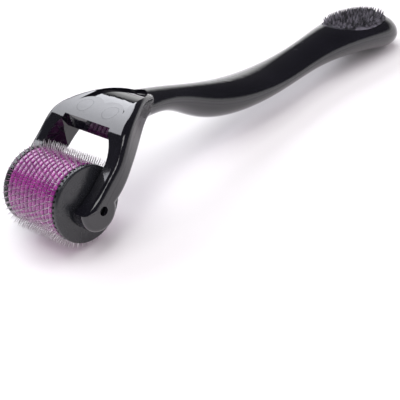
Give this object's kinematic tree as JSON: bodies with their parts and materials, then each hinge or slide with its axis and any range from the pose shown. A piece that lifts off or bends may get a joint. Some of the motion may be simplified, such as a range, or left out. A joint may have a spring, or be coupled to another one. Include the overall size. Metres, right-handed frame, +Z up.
{
  "type": "derma roller",
  "caption": "Handheld derma roller: a drum of stacked needle discs turning in the fork of a curved hollow handle with a nubbed grip pad at its flared end.",
  "frame": {"origin": "on the table, under the middle of the object's box, with the needle tips and the handle's butt resting on the table", "axes": "+X from the roller towards the butt of the handle, +Y along the roller's axle, +Z up"},
  "size_m": [0.1415, 0.0332, 0.0287],
  "materials": {
    "black_shell": "high gloss moulded plastic",
    "black_flange": "gloss moulded plastic",
    "soft_pad": "satin thermoplastic rubber",
    "magenta_ring": "clear tinted gloss plastic",
    "core_plastic": "tinted plastic",
    "needle_steel": "bright etched stainless steel"
  },
  "bodies": {
    "handle": {"handle_upper_shell": "black_shell", "handle_lower_shell": "black_shell", "grip_pad": "soft_pad"},
    "roller": {"end_flange_left": "black_flange", "end_flange_right": "black_flange", "roller_core": "core_plastic", "needle_disc_01": "needle_steel", "needle_disc_02": "needle_steel", "needle_disc_03": "needle_steel", "needle_disc_04": "needle_steel", "needle_disc_05": "needle_steel", "needle_disc_06": "needle_steel", "needle_disc_07": "needle_steel", "needle_disc_08": "needle_steel", "needle_disc_09": "needle_steel", "needle_disc_10": "needle_steel", "needle_disc_11": "needle_steel", "needle_disc_12": "needle_steel", "spacer_ring_01": "magenta_ring", "spacer_ring_02": "magenta_ring", "spacer_ring_03": "magenta_ring", "spacer_ring_04": "magenta_ring", "spacer_ring_05": "magenta_ring", "spacer_ring_06": "magenta_ring", "spacer_ring_07": "magenta_ring", "spacer_ring_08": "magenta_ring", "spacer_ring_09": "magenta_ring", "spacer_ring_10": "magenta_ring", "spacer_ring_11": "magenta_ring"}
  },
  "joints": [
    {"name": "roller_spin", "type": "hinge", "parent": "handle", "child": "roller", "pos_m": [-0.05875, 0, 0.012], "axis": [0, 1, 0], "continuous": true}
  ]
}
